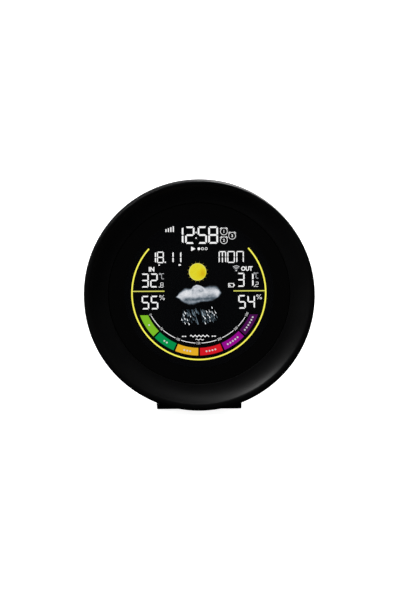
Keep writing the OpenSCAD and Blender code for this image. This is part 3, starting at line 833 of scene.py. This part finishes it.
def sun():
    """Printed sun, swelling slightly: pale rim, golden middle, warm patch at its right, short rays."""
    build = bmesh.new()
    glow = build.verts.layers.float.new("glow")
    rings, spokes, swell = 22, 96, 0.35
    warm_x, warm_z, warm_r, rim_start = 4.2, -1.6, 5.5, 0.88
    wheel = []
    for i in range(rings + 1):
        radius = SUN_R * i / rings
        row = []
        for k in range(spokes if i else 1):
            a = 2 * math.pi * k / spokes
            x, z = radius * math.cos(a), radius * math.sin(a)
            rise = swell * math.sqrt(max(0, 1 - (radius / SUN_R) ** 2))
            v = build.verts.new(picture_point(SUN[0] + x, SUN[1] + z, PICTURE_Y - rise))
            warm = 1 - min(1, math.hypot(x - warm_x, z - warm_z) / warm_r)
            rim = max(0.0, (radius / SUN_R - rim_start) / (1 - rim_start))
            mottle = 0.08 * hash_noise(x * 0.6 + 40, z * 0.6 + 40, 9)
            v[glow] = min(1.0, max(0.0, 0.55 - 0.5 * warm + 0.5 * rim + mottle))
            row.append(v)
        wheel.append(row)
    for k in range(spokes):
        n = (k + 1) % spokes
        build.faces.new((wheel[0][0], wheel[1][k], wheel[1][n]))
        for i in range(1, rings):
            build.faces.new((wheel[i][k], wheel[i + 1][k], wheel[i + 1][n], wheel[i][n]))
    floor = [build.verts.new((v.co.x, PICTURE_Y + INK_T, v.co.z)) for v in wheel[rings]]
    for k in range(spokes):
        n = (k + 1) % spokes
        build.faces.new((wheel[rings][k], floor[k], floor[n], wheel[rings][n]))
    build.faces.new(list(reversed(floor)))
    stops = [(0.0, (0.70, 0.42, 0.01)), (0.4, (0.84, 0.70, 0.015)), (0.7, (0.84, 0.79, 0.04)),
             (1.0, (0.88, 0.85, 0.26))]
    new_piece("sun_disc", build, glow_ink("ink_sun", stops, 1.12), smooth=40)
    rays = bmesh.new()
    ray_count, ray_root, ray_tip, ray_half = 16, SUN_R + 0.35, SUN_R + 1.6, 0.4
    for k in range(ray_count):
        a = 2 * math.pi * (k + 0.5) / ray_count
        out = Vector((math.cos(a), math.sin(a)))
        side = Vector((-math.sin(a), math.cos(a))) * ray_half
        root = Vector(SUN) + out * ray_root
        tip = Vector(SUN) + out * ray_tip
        ink(rays, [tuple(root - side), tuple(tip), tuple(root + side)])
    new_piece("sun_rays", rays, lit_ink("ink_rays", (0.22, 0.17, 0.012), 1.0, 0.3))


def curve_at(points, x, value=1):
    """Smooth curve through points sorted by x, read at x, of the number at index value in each point."""
    last = len(points) - 2
    i = min(last, max(0, sum(1 for p in points[1:] if p[0] <= x)))
    a, b = points[i], points[i + 1]
    before, after = points[max(0, i - 1)], points[min(last + 1, i + 2)]
    width = b[0] - a[0]
    u = min(1.0, max(0.0, (x - a[0]) / width))
    slope_a = (b[value] - before[value]) / (b[0] - before[0]) * width
    slope_b = (after[value] - a[value]) / (after[0] - a[0]) * width
    return ((2 * u ** 3 - 3 * u ** 2 + 1) * a[value] + (u ** 3 - 2 * u ** 2 + u) * slope_a
            + (3 * u ** 2 - 2 * u ** 3) * b[value] + (u ** 3 - u ** 2) * slope_b)


def hump(x, z, middle, half):
    """1 in the middle of an upright or lying patch, falling to 0 at about twice its half widths."""
    return math.exp(-((x - middle[0]) / half[0]) ** 2 - ((z - middle[1]) / half[1]) ** 2)


# Light (above 0) and dark patches of the cloud: how strong, where the middle is, and the half widths
CLOUD_PATCHES = [(0.10, (-10.5, 0.2), (4.5, 2.6)), (-0.10, (10.0, 3.6), (7.0, 2.4)),
                 (-0.22, (1.6, 1.5), (2.4, 0.9)), (-0.16, (-5.2, 1.4), (0.9, 2.6)),
                 (0.12, (5.4, 0.9), (1.3, 1.0)), (0.10, (15.2, 0.2), (2.0, 1.6)),
                 (-0.22, (9.5, -1.8), (4.6, 1.8))]
CLOUD_BASE = 0.86
HEAP_CENTRE = (-0.9, 0.4)


def cloud_at(x, z):
    """How deep in the cloud a point lies, how solid it is and how light it is there, each up to 1."""
    wander, tip, full_depth = 0.35, 19.9, 6.0
    x += wander * hash_noise(x * 0.5, z * 0.6, 1)
    z += wander * hash_noise(x * 0.45 + 9, z * 0.6 + 9, 3)
    top, foot = curve_at(CLOUD_TOP, x), curve_at(CLOUD_FOOT, x)
    under, over = top - z, z - foot
    solid = ease(under / max(0.5, curve_at(CLOUD_TOP, x, 2))) * ease(over / 2.4)
    solid *= ease((tip - x) / 4.0) * ease((x + tip) / 2.0)
    light = CLOUD_BASE
    for strength, middle, half in CLOUD_PATCHES:
        light += strength * hump(x, z, middle, half)
    # The round heap on top: a bright rim and a fold inside it
    away = math.hypot(x - HEAP_CENTRE[0], z - HEAP_CENTRE[1])
    light += 0.13 * math.exp(-((away - 6.0) / 0.6) ** 2) * ease((z - 1.5) / 2.0)
    light -= 0.09 * math.exp(-((away - 4.9) / 0.6) ** 2) * ease((z - 0.5) / 2.0)
    # The shaded underside, and the dimmer edge below it
    shade_z = -5.3 + 0.05 * x
    shaded = math.exp(-((z - shade_z) / 1.9) ** 2) * ease((x + 16.5) / 6) * ease((17.5 - x) / 5)
    light -= 0.44 * shaded + 0.34 * ease((-6.4 - z) / 2.4)
    light += 0.06 * hash_noise(x * 0.6 + 3, z * 0.9, 6) + 0.05 * hash_noise(x * 1.3, z * 1.7, 7)
    return min(1.0, under / full_depth, over / full_depth), solid, min(1.0, max(0.0, light))


def add_shell(build, spots, squares):
    """Squares of a grid as a closed shell: each spot is x, z, its rise towards the reader, and its glow."""
    glow = build.verts.layers.float.new("glow")
    front = {}
    back = {}
    for corner in sorted({corner for square in squares for corner in square}):
        x, z, rise, shine = spots[corner]
        front[corner] = build.verts.new(picture_point(x, z, PICTURE_Y - rise))
        back[corner] = build.verts.new(picture_point(x, z, PICTURE_Y + INK_T))
        front[corner][glow] = shine
        back[corner][glow] = shine
    sides = [side for square in squares for side in zip(square, square[1:] + square[:1])]
    shared = set(sides)
    for layer in (front, back):
        for square in squares:
            build.faces.new([layer[corner] for corner in square])
    for here, there in sides:
        if (there, here) not in shared:
            build.faces.new((front[here], back[here], back[there], front[there]))


def cloud():
    """The cloud as a shallow swelling: lit from above, blue-grey below, its edge fading into the dark."""
    left, right, low, high = -20.0, 20.2, -11.6, 8.4
    step, swell, faintest = 0.36, 0.5, 0.02
    columns, rows = int((right - left) / step), int((high - low) / step)
    spots = {}
    for i in range(columns + 1):
        for k in range(rows + 1):
            x, z = left + i * step, low + k * step
            depth, solid, light = cloud_at(x, z)
            if solid >= faintest:
                spots[i, k] = (x, z, swell * max(0.0, depth), light * solid)
    squares = []
    for i in range(columns):
        for k in range(rows):
            square = ((i, k), (i + 1, k), (i + 1, k + 1), (i, k + 1))
            if all(corner in spots for corner in square):
                squares.append(square)
    build = bmesh.new()
    add_shell(build, spots, squares)
    stops = [(0.0, (0.0015, 0.0016, 0.002)), (0.2, (0.02, 0.022, 0.026)), (0.42, (0.10, 0.135, 0.17)),
             (0.62, (0.34, 0.38, 0.43)), (0.82, (0.66, 0.69, 0.74)), (1.0, (0.95, 0.96, 1.0))]
    new_piece("cloud", build, glow_ink("ink_cloud", stops, 1.06), smooth=80)


def add_drop(build, x, top, length, lean, half):
    """A drop with a long tail, falling to the lower right."""
    tail = (x, top)
    head_x, head_z = x + length * lean, top - length
    cheek_z, chin_z, chin = head_z + half * 1.5, head_z + 0.12, half * 0.7
    ink(build, [tail, (head_x - half, cheek_z), (head_x - chin, chin_z), (head_x, head_z),
                (head_x + chin, chin_z), (head_x + half, cheek_z)])


# Heads of the bright drops
DROPS_LEFT = [(-11.2, -17.2), (-12.3, -19.3), (-11.6, -22.0), (-14.0, -22.7), (-11.3, -25.7), (-8.1, -26.4),
              (-6.8, -19.9), (-9.4, -23.0)]
DROPS_RIGHT = [(11.0, -12.9), (6.6, -16.2), (11.2, -17.0), (9.1, -16.1), (3.8, -19.9), (7.5, -19.0),
               (9.0, -20.8), (12.8, -18.7), (5.2, -21.6), (9.2, -23.6), (5.4, -25.8), (14.0, -17.0)]
# Wide pale streaks: x and z of the top, length, brightness
STREAKS = [(-2.9, -12.4, 4.6, 0.5), (-1.2, -14.6, 3.4, 0.36), (-5.8, -14.0, 4.8, 0.45),
           (-3.2, -17.6, 8.8, 0.47), (1.2, -13.0, 5.6, 0.4), (2.2, -14.6, 4.6, 0.62)]
SPRAY_COUNT = 130
LEFT_CURTAIN, RIGHT_CURTAIN = (-14.6, -3.2), (2.0, 14.2)
SPRAY_TOP = (-22.5, -13.0)
RAIN_FOOT = -27.6


def rain():
    """Two curtains of fine slanted spray, bright drops among them, and a few wide pale streaks."""
    build = bmesh.new()
    glow = build.verts.layers.float.new("glow")
    dice = random.Random(21)
    drops = []
    for _ in range(SPRAY_COUNT):
        x = dice.choice((dice.uniform(*LEFT_CURTAIN), dice.uniform(*RIGHT_CURTAIN)))
        top = dice.uniform(*SPRAY_TOP)
        length = dice.uniform(1.6, 3.6)
        drops.append((x, top, length, dice.uniform(0.3, 0.45), 0.17, dice.uniform(0.2, 0.62)))
    lean = 0.42
    for x, z in DROPS_LEFT + DROPS_RIGHT:
        length = dice.uniform(1.6, 2.8)
        drops.append((x - length * lean, z + length - 0.3, length, lean, dice.uniform(0.34, 0.46), 1.0))
    for x, top, length, bright in STREAKS:
        drops.append((x, top, length, 0.27, 0.5, bright))
    for x, top, length, slant, half, bright in drops:
        before = len(build.verts)
        add_drop(build, x, top, min(length, top - RAIN_FOOT), slant, half)
        build.verts.ensure_lookup_table()
        for v in build.verts[before:]:
            v[glow] = bright
    stops = [(0.0, (0.003, 0.006, 0.009)), (0.3, (0.03, 0.055, 0.075)), (0.5, (0.14, 0.19, 0.23)),
             (0.7, (0.45, 0.54, 0.6)), (1.0, (0.95, 0.98, 1.0))]
    new_piece("rain", build, glow_ink("ink_rain", stops, 1.3))


def display_picture():
    time_figures()
    date_figures()
    weekday_figures()
    indoor_figures()
    outdoor_figures()
    place_signs()
    degree_signs()
    percent_signs()
    signal_bars()
    alarm_icons()
    page_marks()
    radio_icon()
    battery_icon()
    yellow_ring()
    yellow_lines()
    scale_fields()
    scale_line()
    scale_numbers()
    air_icon()
    sun()
    cloud()
    rain()


# -------------------- front ring
EDGE_ROUND = 2.2
# The dish starts round the window. Its section is a hollow sweep and a round crest, each DISH_TURN degrees
DISH_INNER_R = 75.0
DISH_SWEEP_R, DISH_LIP_R, DISH_TURN = 22.4, 3.0, 42


def bezel_profile():
    """Section of the ring as (radius, y, follow); follow says how far a point rises with the dish."""
    reach = DISH_SWEEP_R + DISH_LIP_R
    floor_y = reach * (1 - math.cos(math.radians(DISH_TURN)))
    crest_r = DISH_INNER_R + reach * math.sin(math.radians(DISH_TURN))
    # The dish: up from the seat of the window, a soft inner corner, the hollow sweep and the round crest
    seat, soft, sweep_start = LENS_BACK + 0.3, 0.25, 89.2
    profile = [(DISH_INNER_R, seat, 1), (DISH_INNER_R, floor_y + soft, 1),
               (DISH_INNER_R + soft * 0.3, floor_y + soft * 0.3, 1)]
    sweep_centre = (DISH_INNER_R, floor_y - DISH_SWEEP_R)
    sweep = arc_points(sweep_centre, DISH_SWEEP_R, sweep_start, 90 - DISH_TURN, 28)
    lip = arc_points((crest_r, DISH_LIP_R), DISH_LIP_R, 270 - DISH_TURN, 270, 14)[1:]
    profile += [(r, y, 1) for r, y in sweep + lip]
    # The rounded rim, where the round case takes over from the raised dish, and the side wall
    rim = arc_points((CASE_R - EDGE_ROUND, EDGE_ROUND), EDGE_ROUND, -90, 0, 22)[1:]
    profile += [(r, y, (1 - (i + 1) / len(rim)) ** 2) for i, (r, y) in enumerate(rim)]
    profile += [(CASE_R, RING_DEPTH - soft, 0), (CASE_R - soft, RING_DEPTH, 0)]
    # The inside: wall, underside of the dish, and the shelf that carries the window
    wall_r, tray_r, shelf_r, shelf_t = 91, 77.2, 64, 2
    inside = [(wall_r, RING_DEPTH), (wall_r, 5.2), (89.6, 3.4), (88, 4), (84, 6.3), (80, 8.3),
              (tray_r, 9.3), (tray_r, seat + shelf_t), (shelf_r, seat + shelf_t), (shelf_r, seat)]
    return profile + [(r, y, 1) for r, y in inside]


def bezel_ring():
    """The dished front ring: its section turned round the middle."""
    profile = bezel_profile()
    spokes = 288
    build = bmesh.new()
    rows = []
    for k in range(spokes):
        a = 2 * math.pi * k / spokes
        rows.append([build.verts.new((r * math.cos(a), y, r * math.sin(a) + DISH_RISE * follow))
                     for r, y, follow in profile])
    for k in range(spokes):
        here, there = rows[k], rows[(k + 1) % spokes]
        for i in range(len(profile)):
            j = (i + 1) % len(profile)
            build.faces.new((here[i], here[j], there[j], there[i]))
    piece = new_piece("bezel_ring", build, case_black, smooth=32)
    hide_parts("front_bezel")


# -------------------- floor, light and camera
# How bright the world is to all but the camera, and the floor to the camera and to all else
AMBIENT = 0.035
FLOOR_GLOW = 0.93
FLOOR_DIM = 0.03
FLOOR_HALF = 12.0
# Name, place, size in metres, power in watts, and whether shiny surfaces mirror the lamp
LIGHTS = [("key", (-1.0, -0.3, 1.7), (0.5, 0.5), 11, True),
          ("front_fill", (-0.2, -1.0, 1.9), (1.2, 0.8), 2.6, True),
          ("rim", (0.4, 1.9, 1.35), (0.6, 0.6), 14, True),
          ("side_right", (1.6, 0.5, 0.5), (0.6, 1.2), 10, False),
          ("side_left", (-1.6, 0.5, 0.5), (0.6, 1.2), 10, False),
          ("back_high", (-0.5, 1.7, 1.2), (1.4, 0.9), 14, False),
          ("back_low", (0.9, 1.6, 0.35), (0.9, 0.6), 9, True)]


def stage_floor():
    """White paper: bright to the camera, and dim to everything else so that black plastic stays black."""
    n = Nodes("floor_white")
    paper = n.noise(n.coords(), 6, 4.0)
    white = n.principled({"Specular IOR Level": 0.0, "Roughness": 0.9, "Emission Color": (1, 1, 1, 1),
                          "Emission Strength": FLOOR_GLOW})
    n.link(n.tint(paper, (0.93, 0.93, 0.93), (0.95, 0.95, 0.95)), white.inputs["Base Color"])
    dim = n.add("ShaderNodeBsdfDiffuse")
    dim.inputs["Color"].default_value = (FLOOR_DIM, FLOOR_DIM, FLOOR_DIM, 1)
    mix = n.add("ShaderNodeMixShader")
    n.link(n.add("ShaderNodeLightPath").outputs["Is Camera Ray"], mix.inputs["Fac"])
    n.link(dim.outputs["BSDF"], mix.inputs[1])
    n.link(white.outputs["BSDF"], mix.inputs[2])
    n.link(mix.outputs["Shader"], n.output.inputs["Surface"])
    corners = [(x * FLOOR_HALF, y * FLOOR_HALF, 0) for x, y in box_points(-1, -1, 1, 1)]
    mesh = bpy.data.meshes.new("floor")
    mesh.from_pydata(corners, [], [(0, 1, 2, 3)])
    mesh.materials.append(n.material)
    floor = bpy.data.objects.new("floor", mesh)
    bpy.context.scene.collection.objects.link(floor)


def soft_box(name, place, aim, size, power, glossy):
    """A rectangular lamp that faces aim; glossy says whether shiny surfaces mirror it."""
    light = bpy.data.lights.new(name, "AREA")
    light.shape = "RECTANGLE"
    light.size, light.size_y = size
    light.energy = power
    holder = bpy.data.objects.new(name, light)
    holder.location = place
    holder.rotation_mode = "QUATERNION"
    holder.rotation_quaternion = (Vector(aim) - Vector(place)).to_track_quat("-Z", "Y")
    holder.visible_glossy = glossy
    bpy.context.scene.collection.objects.link(holder)


def studio():
    """A world that is white to the camera and dim to everything else, and the lamps."""
    world = bpy.data.worlds.new("studio")
    world.use_nodes = True
    tree = world.node_tree
    path = tree.nodes.new("ShaderNodeLightPath")
    glow = tree.nodes.new("ShaderNodeMapRange")
    glow.inputs["To Min"].default_value = AMBIENT
    glow.inputs["To Max"].default_value = 1.0
    tree.links.new(path.outputs["Is Camera Ray"], glow.inputs["Value"])
    back = tree.nodes["Background"]
    back.inputs["Color"].default_value = (1, 1, 1, 1)
    tree.links.new(glow.outputs["Result"], back.inputs["Strength"])
    bpy.context.scene.world = world
    bpy.context.scene.view_settings.view_transform = "Standard"
    middle = tuple(CASE_MIDDLE)
    for name, place, size, power, glossy in LIGHTS:
        soft_box(name, place, middle, size, power, glossy)


CAMERA_DISTANCE = 3.5
CAMERA_AZIMUTH = math.radians(-1.9)
CAMERA_ELEVATION = math.radians(13.8)
# Height of what the camera sees at the case, and how far right of and above the case's middle it aims
FRAME_HEIGHT = 0.4925
AIM_SHIFT = (0.00035, -0.0031)
SENSOR = 36


def camera():
    """A long lens, slightly above the case and to its left."""
    back = Vector((math.sin(CAMERA_AZIMUTH) * math.cos(CAMERA_ELEVATION),
                   -math.cos(CAMERA_AZIMUTH) * math.cos(CAMERA_ELEVATION), math.sin(CAMERA_ELEVATION)))
    turn = (-back).to_track_quat("-Z", "Y")
    aim = CASE_MIDDLE + turn @ Vector((*AIM_SHIFT, 0))
    data = bpy.data.cameras.new("camera")
    data.sensor_fit = "VERTICAL"
    data.sensor_height = SENSOR
    data.lens = SENSOR * CAMERA_DISTANCE / FRAME_HEIGHT
    holder = bpy.data.objects.new("camera", data)
    holder.rotation_mode = "QUATERNION"
    holder.rotation_quaternion = turn
    holder.location = aim + back * CAMERA_DISTANCE
    bpy.context.scene.collection.objects.link(holder)
    bpy.context.scene.camera = holder


display_picture()
bezel_ring()
stage_floor()
studio()
camera()
